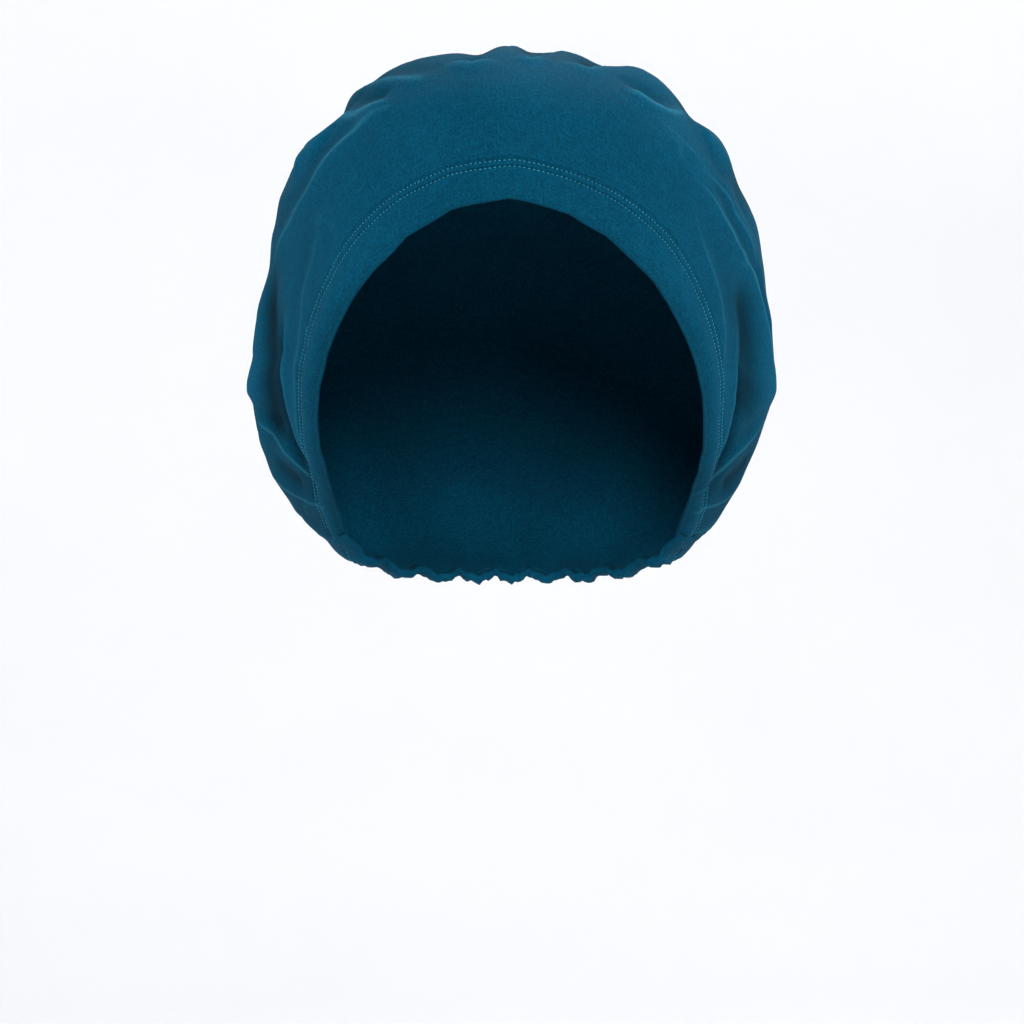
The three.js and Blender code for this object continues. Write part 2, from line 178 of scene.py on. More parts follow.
def unit(vectors):
    return vectors / np.maximum(np.linalg.norm(vectors, axis=-1), 1e-9)[..., None]


# Three directions at a point of the plain form: round the opening, up the cloth, and out of it
def skinFrame(turn, along):
    near = np.minimum(along, closedFrom)
    halfTurn, step = 0.5, 0.004
    across = unit(plainSkin(turn + halfTurn, near) - plainSkin(turn - halfTurn, near))
    up = unit(plainSkin(turn, near + step) - plainSkin(turn, np.maximum(near - step, 0)))
    return across, up, unit(np.cross(across, up))


def meridians(turns, steps=240):
    along = np.linspace(0, 1, steps + 1)
    lines = plainSkin(*np.meshgrid(turns, along))
    pieces = np.linalg.norm(np.diff(lines, axis=0), axis=-1)
    return along, np.vstack([np.zeros(len(turns)), np.cumsum(pieces, axis=0)])


def alongAt(table, lengths):
    along, grown = table
    columns = range(grown.shape[1])
    return np.stack([np.interp(lengths[:, column], grown[:, column], along) for column in columns], 1)


# Folds of the cloth. Each runs through points of (turn, share): a turn is the angle round the opening from
# the brow, the wearer's left positive, and a share is how far the point lies from the hem to the closed end,
# below nought on the hem. Then the width as a share of foldWidth, the height as a share of foldDepth, the side
# that falls steeply, how plainly a pressed crease shows, in its shape and as a pale painted line of wear and
# highlight, and how deep the valley beyond it is, as a share of foldDepth.
foldRows = [
    # wearer's right
    (((-24, 0.165), (-32, 0.178), (-39, 0.196), (-46, 0.188), (-53, 0.188), (-60, 0.214), (-67, 0.259),
      (-71, 0.3)), 0.9, 0.24, -1, 0.55, 0.2),
    (((-48, 0.12), (-56, 0.084), (-66, 0.063), (-73, 0.028), (-87, 0.008), (-94, 0.006), (-101, -0.015),
      (-108, -0.058), (-124, -0.081)), 0.6, 0.1, -1, 0.25, 0.12),
    (((-68, 0.14), (-75, 0.094), (-82, 0.066), (-88, 0.047), (-92, 0.034), (-96, 0.018), (-102, -0.006),
      (-113, -0.059), (-124, -0.081)), 0.7, 0.2, -1, 0.25, 0.75),
    (((-64, 0.3), (-75, 0.235), (-81, 0.175), (-88.5, 0.14), (-98, 0.11), (-107, 0.09)), 1.2, -0.9, 0, 0, 0),
    (((-102, 0.22), (-103, 0.179), (-103, 0.123), (-106, 0.062), (-110, 0.008), (-112, -0.04)),
     0.7, 0.1, 1, 0.5, 0.25),
    (((-118, 0.22), (-119, 0.15), (-119, 0.092), (-119, -0.032), (-118, -0.06)), 0.7, 0.1, 1, 0.45, 0.12),
    (((-131, 0.21), (-130, 0.14), (-130, 0.073), (-130, -0.076)), 0.8, 0.1, 1, 0.35, 0.1),
    (((-111, 0.12), (-112, 0.07), (-114, 0.02)), 0.55, -0.25, 0, 0, 0),
    (((-104, 0.21), (-114, 0.165), (-124, 0.14), (-138, 0.13)), 1.4, 0.45, 0, 0, 0),
    (((-71, 0.33), (-85, 0.285), (-93, 0.25), (-100, 0.2)), 1.3, 0.65, 0, 0, 0),
    (((-42, 0.27), (-46, 0.3), (-53, 0.33)), 0.9, 0.6, 0, 0, 0),
    # wearer's left
    (((44, 0.16), (51, 0.199), (55, 0.218), (58, 0.221), (64, 0.249), (70, 0.27)), 1.0, 0.2, 1, 0.4, 0.25),
    (((44, 0.13), (50, 0.149), (58, 0.159), (63, 0.17), (68, 0.189), (73, 0.206), (79, 0.216), (84, 0.221),
      (89, 0.232), (95, 0.25)), 0.85, 0.28, 1, 0.6, 0.4),
    (((45, 0.11), (55, 0.067), (61, 0.057), (66, 0.049), (74, 0.028), (80, 0.004), (86, 0.002), (94, -0.008)),
     0.6, 0.1, 1, 0.25, 0.12),
    (((68, 0.12), (80, 0.057), (86, 0.036), (90, 0.032), (95, 0.017), (100, 0.001), (107, -0.026),
      (112, -0.042), (116, -0.075), (125, -0.082)), 0.7, 0.2, 1, 0.25, 0.9),
    (((66, 0.14), (74, 0.13), (81, 0.125), (91, 0.105), (101, 0.09)), 1.1, -0.65, 0, 0, 0),
    (((103, 0.21), (105, 0.123), (107, 0.055), (112, -0.004), (114, -0.045)), 0.7, 0.1, -1, 0.5, 0.25),
    (((120, 0.21), (121, 0.067), (120, -0.011), (121, -0.081)), 0.7, 0.1, -1, 0.45, 0.15),
    (((131, 0.21), (130, 0.14), (129, 0.08), (128, 0.0), (127, -0.06)), 0.8, 0.1, -1, 0.35, 0.1),
    (((112, 0.15), (114, 0.09), (115, 0.03)), 0.62, -0.3, 0, 0, 0),
    (((74, 0.295), (84, 0.27), (92, 0.24), (101, 0.2)), 1.3, 0.5, 0, 0, 0),
    (((42, 0.28), (46, 0.3), (54, 0.33)), 0.9, 0.45, 0, 0, 0),
    # short gathers over the crest
    (((-42, 0.36), (-38.5, 0.3), (-36, 0.252), (-33.5, 0.224), (-30, 0.2), (-26, 0.19)),
     0.75, 0.32, 1, 0.75, 0.4),
    (((-33, 0.38), (-30, 0.33), (-26, 0.272), (-22, 0.228), (-18, 0.19)), 0.75, 0.3, 1, 0.6, 0.18),
    (((-14, 0.26), (-9.5, 0.218), (-7.5, 0.214), (-4, 0.235)), 0.6, 0.35, 1, 0.35, 0.3),
    (((1.5, 0.25), (4, 0.228), (7.5, 0.265)), 0.55, 0.3, 1, 0.3, 0.55),
    (((10, 0.27), (16, 0.238), (19, 0.278), (22, 0.38)), 0.65, 0.35, 1, 0.35, 0.5),
    (((24, 0.2), (27, 0.212), (30, 0.216), (33, 0.228), (36, 0.252), (40, 0.36)), 0.75, 0.35, 1, 0.7, 0.35),
    (((31, 0.19), (39, 0.184), (45.5, 0.184), (51, 0.17)), 1.3, 0.24, 0, 0.15, 0),
    (((-38.5, 0.29), (-39.5, 0.38), (-43, 0.52), (-49, 0.66)), 0.75, -0.55, 0, 0, 0),
    (((-29, 0.27), (-30, 0.38), (-32, 0.52), (-37, 0.66)), 0.68, -0.4, 0, 0, 0),
    (((-7, 0.25), (-7, 0.36), (-8, 0.5), (-9, 0.64)), 0.7, -0.65, 0, 0, 0),
    (((-2, 0.22), (-2, 0.34), (-2, 0.46), (-2, 0.6)), 0.78, 0.25, 0, 0, 0),
    (((4, 0.25), (4, 0.36), (5, 0.48), (6, 0.62)), 0.62, -0.5, 0, 0, 0),
    (((9, 0.24), (10, 0.36), (11, 0.46), (13, 0.58)), 0.78, 0.05, 0, 0, 0),
    (((18, 0.26), (18.5, 0.38), (20, 0.52), (23, 0.66)), 0.78, -0.65, 0, 0, 0),
    (((28, 0.25), (29, 0.38), (31, 0.52), (35, 0.66)), 1.25, 0.45, 0, 0, 0),
    (((39, 0.28), (40, 0.38), (43, 0.52), (49, 0.66)), 0.75, -0.65, 0, 0, 0),
    (((53, 0.25), (55, 0.34), (59, 0.48), (66, 0.6)), 0.92, -0.6, 0, 0, 0),
    # soft folds that rise from the nape
    (((-173, 0.02), (-171, 0.2), (-166, 0.44)), 1.5, 0.3, 0, 0, 0),
    (((-161, 0.01), (-157, 0.22), (-149, 0.5)), 1.6, -0.35, 0, 0, 0),
    (((-149, 0.02), (-146, 0.2), (-138, 0.42)), 1.4, 0.3, 0, 0, 0),
    (((176, 0.01), (174, 0.25), (167, 0.52)), 1.6, -0.35, 0, 0, 0),
    (((165, 0.02), (160, 0.2), (151, 0.46)), 1.5, 0.35, 0, 0, 0),
    (((151, 0.02), (147, 0.2), (140, 0.38)), 1.4, -0.3, 0, 0, 0),
    # cloth that stands up again behind the crest
    (((-1, 0.43), (3, 0.455), (8, 0.43)), 0.5, 0.35, 0, 0, 0),
    (((8, 0.44), (14, 0.47), (23, 0.455)), 0.6, 0.5, 0, 0, 0),
]

# Small creases scattered over the cloth by a fixed seed
wrinkles = {
    "seed": 7, "count": 150,
    "reach": (10, 34),            # millimetres of cloth that a crease runs
    "width": (1.3, 3.4), "height": (0.1, 0.42),
    "linePart": 0.12, "dipPart": 0.6,                     # of the height, for the pressed line and the valley
    "calm": 0.25, "calmTurn": 36, "calmShare": 0.27,      # the cloth lies smooth over the brow
    "swell": 0.42,                # height of the soft swell under them
}

# Gathers that the elastic draws over the nape, in millimetres
gathers = {
    "steps": 10, "height": 2.6, "reach": 48.0,
    "pinch": 0.55,                # how much narrower a valley is than the ridge beside it
    "small": 0.5, "smallFrom": 17, "smallReach": 20.0,
}

# Lengths are in millimetres, turns in degrees, and the rest are shares
foldForm = {
    "ends": 0.24,                 # share of a fold's run over which it rises at each end
    "steepSide": 0.5, "valleyPlace": 1.3, "valleyWidth": 0.8, "reach": 3.2,      # as shares of its width
    "creaseWidth": 0.9, "creaseHeight": 0.4,              # of the pressed line along a fold
    # a pressed crease is painted pale along its line, partly as wear and partly as painted highlight
    "lineWidth": 0.62,            # a pressed crease wears pale along a line this wide
    "crestSpread": 1.1,           # creases over the crest are softer than at the sides
    "crestTurns": (34, 50),
    "overhang": 0.9,              # how far a crest leans over its valley
    "onHem": 0.3,                 # share of a fold's height that is left on the stitched hem
    # painted shade: hollows of folds and the cloth beside the nape are darkened in colour
    "hollowShade": 0.8, "hollowTurns": (50, 66),          # hollows are darker at the sides than over the crest
    "napeShade": 0.75, "napeTurns": (94, 114),            # and so is the cloth beside the nape,
    "backTurns": (120, 148), "backPart": 0.6,             # less so behind
}
hemForm = {
    "seamStart": 16.3,
    "kinks": (-44, -32, -17.5, -1, 17, 29, 47),           # the edge hangs in short arcs between these turns
    "sag": 0.75, "sagLengths": (2, 22),
    "sideSpread": 0.245,          # how much wider the hem lies beside the temples than at the brow
    "spreadFrom": 4, "spreadFull": 52, "spreadTo": 96,
    "spreadLength": 17, "spreadGone": 45,
}
wholeTurn = 360 * turnLength


# A smooth line through points of (turn, share), in millimetres of cloth
def runThrough(points, perSpan=5):
    stops = np.array(points, float) * (turnLength, shareLength)
    padded = np.vstack([2 * stops[0] - stops[1], stops, 2 * stops[-1] - stops[-2]])
    part = np.linspace(0, 1, perSpan, endpoint=False)[:, None]
    line = [
        b + 0.5 * ((c - a) * part + (2 * a - 5 * b + 4 * c - d) * part**2 + (3 * b - a - 3 * c + d) * part**3)
        for a, b, c, d in zip(padded[:-3], padded[1:-2], padded[2:-1], padded[3:])
    ]
    return np.vstack(line + [stops[-1:]])


# How far places lie from a path, on which side, how far along it, and which way it runs there
def nearestOn(path, x, y):
    best = np.full(x.shape, 1e9)
    side, place = np.zeros(x.shape), np.zeros(x.shape)
    alongX, alongY = np.zeros(x.shape), np.zeros(x.shape)
    for step in range(len(path) - 1):
        start, run = path[step], path[step + 1] - path[step]
        size = max(np.hypot(*run), 1e-6)
        part = np.clip(((x - start[0]) * run[0] + (y - start[1]) * run[1]) / size**2, 0, 1)
        offX, offY = x - start[0] - run[0] * part, y - start[1] - run[1] * part
        distance = np.hypot(offX, offY)
        nearer = distance < best
        best = np.where(nearer, distance, best)
        side = np.where(nearer, np.sign(run[0] * offY - run[1] * offX), side)
        place = np.where(nearer, (step + part) / (len(path) - 1), place)
        alongX, alongY = np.where(nearer, run[0] / size, alongX), np.where(nearer, run[1] / size, alongY)
    return best, side, place, alongX, alongY


def makeFolds():
    rows = [{
        "path": runThrough(points), "width": width * cap["foldWidth"], "height": height * cap["foldDepth"],
        "lean": lean, "line": line, "dip": dip * cap["foldDepth"],
    } for points, width, height, lean, line, dip in foldRows]
    chance = np.random.default_rng(wrinkles["seed"])
    for number in range(wrinkles["count"]):
        turn, share = chance.uniform(-180, 180), chance.uniform(0.03, 0.9) ** 1.15
        overBrow = abs(turn) < wrinkles["calmTurn"] and share < wrinkles["calmShare"]
        calm = wrinkles["calm"] if overBrow else 1
        heading = math.radians(90 + chance.normal(0, 38)) - math.radians(turn) * 0.25
        reach = chance.uniform(*wrinkles["reach"]) / 2
        bend = chance.normal(0, 0.16) * reach
        shrink = 1 / max(1 - 0.8 * share, 0.2)          # turns lie closer together near the closed end
        middle = np.array([turn * turnLength, share * shareLength])
        run = np.array([math.cos(heading) * shrink, math.sin(heading)]) * reach
        out = np.array([-math.sin(heading) * shrink, math.cos(heading)]) * bend
        stops = np.array([middle - run, middle + out, middle + run]) / (turnLength, shareLength)
        height = calm * chance.uniform(*wrinkles["height"])
        rows.append({
            "path": runThrough(stops), "width": chance.uniform(*wrinkles["width"]),
            "height": height * chance.choice([1, 1, -1]), "lean": int(chance.choice([-1, 0, 1])),
            "line": wrinkles["linePart"] * height, "dip": wrinkles["dipPart"] * height,
        })
    return rows


folds = makeFolds()
print("folds and creases laid out:", len(folds))


def wrapTurn(turn):
    return (turn + 180) % 360 - 180


# How far the folds lift and slide the cloth, where a crease is painted pale as wear and highlight, and where
# painted shade darkens it
def clothLift(turn, share, length):
    turn = wrapTurn(turn)
    aside = np.abs(turn)
    x, y = turn * turnLength, share * shareLength
    lift, slideX, slideY, worn, shaded = (np.zeros(x.shape) for _ in range(5))
    fade = foldForm["onHem"] + (1 - foldForm["onHem"]) * smoothStep(-0.02, 0.05, share)
    for fold in folds:
        margin = foldForm["reach"] * fold["width"]
        low, high = fold["path"].min(0) - margin, fold["path"].max(0) + margin
        for lap in (-wholeTurn, 0, wholeTurn):
            near = (x + lap > low[0]) & (x + lap < high[0]) & (y > low[1]) & (y < high[1])
            if not near.any():
                continue
            distance, side, place, alongX, alongY = nearestOn(fold["path"], x[near] + lap, y[near])
            width, lean = fold["width"], fold["lean"]
            taper = smoothStep(0, foldForm["ends"], place) * (1 - smoothStep(1 - foldForm["ends"], 1, place))
            rise = np.exp(-((distance / width) ** 2))
            if lean:
                steep = np.exp(-((distance / (foldForm["steepSide"] * width)) ** 2))
                past = (distance - foldForm["valleyPlace"] * width) / (foldForm["valleyWidth"] * width)
                beyond = np.exp(-(past**2)) * smoothStep(0, width, distance)
                falls = side * lean > 0
                rise = np.where(falls, steep, rise)
                lift[near] -= fold["dip"] * taper * beyond * falls
            spread = 1 + foldForm["crestSpread"] * (1 - smoothStep(*foldForm["crestTurns"], aside[near]))
            crease = foldForm["creaseHeight"] * np.exp(-distance / foldForm["creaseWidth"] / spread)
            lift[near] += taper * (fold["height"] * rise + fold["line"] * crease)
            # painted shade: the hollow of a sunken fold is darkened in colour, most at the sides
            deep = foldForm["hollowShade"] * max(-fold["height"], 0) / cap["foldDepth"]
            atSide = smoothStep(*foldForm["hollowTurns"], aside[near])
            shaded[near] += deep * taper * rise * (0.1 + 0.9 * atSide)
            # a pale line along each crease, partly wear and partly painted highlight
            line = fold["line"] * taper * np.exp(-((distance / foldForm["lineWidth"] / spread) ** 2))
            worn[near] = np.maximum(worn[near], line)
            tall = (fold["height"] + fold["dip"]) / cap["foldDepth"]
            over = foldForm["overhang"] * lean * tall * taper * rise
            slideX[near] -= alongY * over
            slideY[near] += alongX * over
    lift, slideX, slideY = lift * fade, slideX * fade, slideY * fade
    swell = (
        np.sin(x / 23 + 1.3 * np.sin(y / 31)) * np.sin(y / 19 + 0.9 * np.sin(x / 37))
        + 0.6 * np.sin(x / 11 + y / 17 + 2 * np.sin(y / 29)) * np.sin(y / 14 - x / 41)
    )
    lift += wrinkles["swell"] * swell * smoothStep(0.02, 0.2, share) * (1 - smoothStep(0.75, 0.97, share))
    # painted shade: the cloth beside the nape is darkened in colour, less so behind
    beside = smoothStep(*foldForm["napeTurns"], aside)
    beside = beside * (1 - foldForm["backPart"] * smoothStep(*foldForm["backTurns"], aside))
    shaded = shaded * fade + foldForm["napeShade"] * beside * (1 - smoothStep(0.4, 0.9, share))
    return lift + gatherLift(turn, length), slideX, slideY, worn, shaded


# Valleys and ridges that the elastic draws in the cloth over the nape
def gatherLift(turn, length):
    offNape = (180 - np.abs(turn)) * np.sign(turn)
    inside = 1 - smoothStep(0.8, 1, np.abs(offNape) / cap["casingHalfTurn"])
    wander = 0.35 * np.sin(offNape / 9 + 0.6) + 0.25 * np.sin(offNape / 4.3 + 2)
    phase = offNape / cap["casingHalfTurn"] * gathers["steps"] * math.pi
    leaning = phase + wander * smoothStep(10, 60, length) * 2.4
    wave = np.cos(leaning)
    pinched = 1 - 2 * np.abs((1 - wave) / 2) ** (1 + gathers["pinch"])
    reach = gathers["reach"] * (1 + 0.35 * np.sin(offNape / 6.1 + 1) + 0.2 * np.sin(offNape / 2.7))
    fade = 1 - smoothStep(cap["bandWidth"], cap["bandWidth"] + reach, length)
    small = np.cos(phase * 2.9 + 1.2 * np.sin(offNape / 5))
    small = small * np.exp(-((length - gathers["smallFrom"]) / gathers["smallReach"]).clip(0) ** 2)
    return inside * (gathers["height"] / 2 * pinched * fade + gathers["small"] * small)


# The hem widens beside the temples, and the cloth above it takes that up again
def widerHem(turn, length):
    aside = np.abs(turn)
    spread = smoothStep(hemForm["spreadFrom"], hemForm["spreadFull"], aside)
    spread = spread * (1 - smoothStep(hemForm["spreadFull"], hemForm["spreadTo"], aside))
    whole = hemForm["spreadLength"]
    spread = spread * np.clip(length, 0, whole) * (1 - smoothStep(whole, hemForm["spreadGone"], length))
    return length + hemForm["sideSpread"] * spread


# The finished cloth at turns round the opening and lengths up from its edge
def layCloth(turns, lengths):
    table = meridians(turns)
    turnGrid = np.broadcast_to(turns, lengths.shape)
    lengths = widerHem(wrapTurn(turnGrid), lengths)
    along = alongAt(table, lengths)
    across, up, normal = skinFrame(turnGrid, along)
    start = hemForm["seamStart"]
    share = (lengths - start) / (table[1][-1] - start)
    lift, slideX, slideY, worn, shaded = clothLift(turnGrid, share, lengths)
    kinks = np.array(hemForm["kinks"], float)
    span = np.clip(np.searchsorted(kinks, turnGrid, side="right") - 1, 0, len(kinks) - 2)
    part = np.clip((turnGrid - kinks[span]) / (kinks[span + 1] - kinks[span]), 0, 1)
    sag = hemForm["sag"] * 4 * part * (1 - part) * (1 - smoothStep(*hemForm["sagLengths"], lengths))
    point = plainSkin(turnGrid, along)
    point = point + normal * lift[..., None] + across * slideX[..., None] + up * (slideY - sag)[..., None]
    return {"point": point, "normal": normal, "up": up, "lift": lift, "worn": worn, "shaded": shaded}


# A mesh from points in millimetres, with a place on the cloth for each corner and tones for each point
def meshObject(name, points, faces, material, uv=None, tones=None):
    mesh = bpy.data.meshes.new(name)
    mesh.from_pydata((points * millimetre).tolist(), [], faces)
    if uv is not None:
        layer = mesh.uv_layers.new(name="cloth")
        layer.data.foreach_set("uv", np.array(uv).astype(np.float32).ravel())
    for tone, values in (tones or {}).items():
        shade = mesh.attributes.new(tone, "FLOAT", "POINT")
        shade.data.foreach_set("value", values.astype(np.float32).ravel())
    mesh.polygons.foreach_set("use_smooth", np.ones(len(mesh.polygons), bool))
    mesh.materials.append(material)
    mesh.update()
    item = bpy.data.objects.new(name, mesh)
    bpy.context.scene.collection.objects.link(item)
    return item


def addNode(tree, kind, **settings):
    node = tree.nodes.new(kind)
    for name, value in settings.items():
        setattr(node, name, value)
    return node


def joinNodes(tree, source, target):
    tree.links.new(source, target)


def mixColour(tree, blend, factor, first, second):
    mix = addNode(tree, "ShaderNodeMix", data_type="RGBA", blend_type=blend)
    for socket, value in ((mix.inputs[0], factor), (mix.inputs[6], first), (mix.inputs[7], second)):
        if isinstance(value, bpy.types.NodeSocket):
            joinNodes(tree, value, socket)
        else:
            socket.default_value = value
    return mix.outputs[2]


def rangeOf(tree, value, low, high, newLow, newHigh):
    node = addNode(tree, "ShaderNodeMapRange")
    joinNodes(tree, value, node.inputs["Value"])
    for name, number in (("From Min", low), ("From Max", high), ("To Min", newLow), ("To Max", newHigh)):
        node.inputs[name].default_value = number
    return node.outputs["Result"]


def grey(tree, value):
    node = addNode(tree, "ShaderNodeCombineColor")
    for socket in node.inputs[:3]:
        joinNodes(tree, value, socket)
    return node.outputs["Color"]


def noiseOf(tree, place, scale, detail=2.0, roughness=0.55, stretch=None):
    if stretch is not None:
        mapping = addNode(tree, "ShaderNodeMapping")
        mapping.inputs["Scale"].default_value = stretch
        joinNodes(tree, place, mapping.inputs["Vector"])
        place = mapping.outputs["Vector"]
    noise = addNode(tree, "ShaderNodeTexNoise")
    noise.inputs["Scale"].default_value = scale
    noise.inputs["Detail"].default_value = detail
    noise.inputs["Roughness"].default_value = roughness
    joinNodes(tree, place, noise.inputs["Vector"])
    return noise.outputs["Fac"]


def bumpOf(tree, height, distance, strength, before=None):
    bump = addNode(tree, "ShaderNodeBump")
    bump.inputs["Distance"].default_value = distance
    bump.inputs["Strength"].default_value = strength
    joinNodes(tree, height, bump.inputs["Height"])
    if before is not None:
        joinNodes(tree, before, bump.inputs["Normal"])
    return bump.outputs["Normal"]


# Range of the painted shade and highlight of the folds, from the deepest valley to the highest crest
foldShadeRange = (-1.7, 1.0)

# Cloth is woven of threads half a millimetre apart; the cloth map counts in centimetres of cloth
weave = {
    "threadsPerCentimetre": 20.0,
    "threadShade": 0.08, "slubShade": 0.1, "speckShade": 0.34, "broadShade": 0.1,
    # painted shade in the valleys of folds and painted highlight on their crests
    "valleyShade": 0.22, "crestHighlight": 1.22,
    # pale colour of crease lines, partly wear and partly painted highlight
    "wornColour": (0.024, 0.17, 0.25),
    "holeColour": (0.0008, 0.022, 0.045), "holeFrom": 0.022, "holeTo": 0.055,
    "roughness": 0.86,
    # scale, detail and roughness of the noises, then depth in metres and strength of the bumps
    "speckNoise": (1250.0, 2.0, 0.7), "broadNoise": (16.0, 3.0, 0.55), "crumpleNoise": (95.0, 3.0, 0.5),
    "speckBump": (0.00022, 0.45), "crumpleBump": (0.0006, 0.35), "threadBump": (0.00012, 0.6),
    "holeBump": (0.0003, 0.8),
}
stitches = {
    "hemRows": (12.5, 14.9), "casingRows": (14.6,),        # millimetres up from the edge
    "pitch": 1.9, "dash": 1.42, "radius": 0.118, "stand": 0.08, "sink": 0.25, "jitter": 0.03, "seed": 21,
}


def mathOf(tree, operation, *values):
    node = addNode(tree, "ShaderNodeMath", operation=operation)
    for socket, value in zip(node.inputs, values):
        if isinstance(value, bpy.types.NodeSocket):
            joinNodes(tree, value, socket)
        else:
            socket.default_value = value
    return node.outputs[0]


# How near a place is to a needle hole of the stitch rows, from 0 to 1
def needleHoles(tree, uv, rowLengths):
    split = addNode(tree, "ShaderNodeSeparateXYZ")
    joinNodes(tree, uv, split.inputs["Vector"])
    pitch = stitches["pitch"] / 10
    stitch = mathOf(tree, "FRACT", mathOf(tree, "MULTIPLY_ADD", split.outputs["X"], 1 / pitch, 0.5))
    off = mathOf(tree, "MULTIPLY", mathOf(tree, "SUBTRACT", stitch, 0.5), pitch)
    nearest = None
    for length in rowLengths:
        away = mathOf(tree, "SUBTRACT", split.outputs["Y"], length / 10)
        squares = mathOf(tree, "MULTIPLY", off, off), mathOf(tree, "MULTIPLY", away, away)
        distance = mathOf(tree, "SQRT", mathOf(tree, "ADD", *squares))
        nearest = distance if nearest is None else mathOf(tree, "MINIMUM", nearest, distance)
    return rangeOf(tree, nearest, weave["holeFrom"], weave["holeTo"], 1.0, 0.0)


def wovenCloth(name, colour, rowLengths=()):
    material = bpy.data.materials.new(name)
    material.use_nodes = True
    tree = material.node_tree
    shader = tree.nodes["Principled BSDF"]
    uv = addNode(tree, "ShaderNodeUVMap", uv_map="cloth").outputs["UV"]
    place = addNode(tree, "ShaderNodeTexCoord").outputs["Object"]

    threads = []
    for direction in ("X", "Y"):
        wave = addNode(
            tree, "ShaderNodeTexWave", wave_type="BANDS", bands_direction=direction, wave_profile="SIN")
        wave.inputs["Scale"].default_value = weave["threadsPerCentimetre"] * math.pi / 10
        wave.inputs["Distortion"].default_value = 1.1
        wave.inputs["Detail"].default_value = 1.0
        wave.inputs["Detail Scale"].default_value = 0.6
        joinNodes(tree, uv, wave.inputs["Vector"])
        threads.append(wave.outputs["Fac"])
    crossing = mathOf(tree, "MULTIPLY", *threads)

    slubAcross = noiseOf(tree, uv, 1.0, 1.0, stretch=(1.6, 16.0, 1.0))
    slubAlong = noiseOf(tree, uv, 1.0, 1.0, stretch=(16.0, 1.6, 1.0))
    speck, broad, crumple = (
        noiseOf(tree, place, *weave[name]) for name in ("speckNoise", "broadNoise", "crumpleNoise"))
    fold = addNode(tree, "ShaderNodeAttribute", attribute_name="paintedShadeAndHighlight").outputs["Fac"]

    def shade(value, amount, low=0.3, high=0.7):
        return grey(tree, rangeOf(tree, value, low, high, 1 - amount, 1 + amount))

    tinted = (*colour, 1.0)
    for tone in (
        shade(crossing, weave["threadShade"], 0.0, 1.0),
        shade(slubAcross, weave["slubShade"]), shade(slubAlong, weave["slubShade"]),
        shade(speck, weave["speckShade"]), shade(broad, weave["broadShade"]),
        grey(tree, rangeOf(tree, fold, *foldShadeRange, weave["valleyShade"], weave["crestHighlight"])),
    ):
        tinted = mixColour(tree, "MULTIPLY", 1.0, tinted, tone)
    # painted highlight: crests of folds are mixed towards a paler colour
    crestHighlightMix = mathOf(
        tree, "MULTIPLY", rangeOf(tree, fold, 0.3, 1.0, 0.0, 0.22), rangeOf(tree, speck, 0.4, 0.7, 0.3, 1.0))
    crestHighlightColour = (colour[0] * 3.2 + 0.01, colour[1] * 1.6, colour[2] * 1.45, 1.0)
    tinted = mixColour(tree, "MIX", crestHighlightMix, tinted, crestHighlightColour)
    # a pale line along pressed creases, partly wear and partly painted highlight along the ridge
    line = addNode(tree, "ShaderNodeAttribute", attribute_name="creaseWearAndHighlight").outputs["Fac"]
    pressed = mathOf(tree, "MULTIPLY", line, rangeOf(tree, slubAlong, 0.3, 0.7, 0.5, 0.85))
    tinted = mixColour(tree, "MIX", pressed, tinted, (*weave["wornColour"], 1.0))
    holes = needleHoles(tree, uv, rowLengths) if rowLengths else None
    if holes:
        darker = mathOf(tree, "MULTIPLY", holes, 0.75)
        tinted = mixColour(tree, "MIX", darker, tinted, (*weave["holeColour"], 1.0))
    joinNodes(tree, tinted, shader.inputs["Base Color"])

    rough = rangeOf(tree, speck, 0.3, 0.7, weave["roughness"] - 0.06, weave["roughness"] + 0.08)
    joinNodes(tree, rough, shader.inputs["Roughness"])
    normal = bumpOf(tree, crumple, *weave["crumpleBump"])
    normal = bumpOf(tree, speck, *weave["speckBump"], normal)
    normal = bumpOf(tree, crossing, *weave["threadBump"], normal)
    if holes:
        normal = bumpOf(tree, mathOf(tree, "SUBTRACT", 1.0, holes), *weave["holeBump"], normal)
    joinNodes(tree, normal, shader.inputs["Normal"])
    shader.inputs["Specular IOR Level"].default_value = 0.022
    shader.inputs["Sheen Weight"].default_value = 0.025
    shader.inputs["Sheen Roughness"].default_value = 0.35
    shader.inputs["Sheen Tint"].default_value = (0.2, 0.68, 0.9, 1.0)
    return material


def threadMaterial(name, colour):
    material = bpy.data.materials.new(name)
    material.use_nodes = True
    tree = material.node_tree
    shader = tree.nodes["Principled BSDF"]
    place = addNode(tree, "ShaderNodeTexCoord").outputs["Object"]
    fibre = noiseOf(tree, place, 2600.0, 2.0, 0.6)
    patch = noiseOf(tree, place, 70.0, 1.0)
    tinted = (*colour, 1.0)
    for tone, low, high in ((fibre, 0.7, 1.3), (patch, 0.75, 1.25)):
        tinted = mixColour(tree, "MULTIPLY", 1.0, tinted, grey(tree, rangeOf(tree, tone, 0.3, 0.7, low, high)))
    joinNodes(tree, tinted, shader.inputs["Base Color"])
    joinNodes(tree, rangeOf(tree, fibre, 0.3, 0.7, 0.5, 0.7), shader.inputs["Roughness"])
    joinNodes(tree, bumpOf(tree, fibre, 0.00008, 0.6), shader.inputs["Normal"])
    shader.inputs["Specular IOR Level"].default_value = 0.12
    shader.inputs["Sheen Weight"].default_value = 0.04
    shader.inputs["Sheen Tint"].default_value = (0.2, 0.65, 0.85, 1.0)
    return material


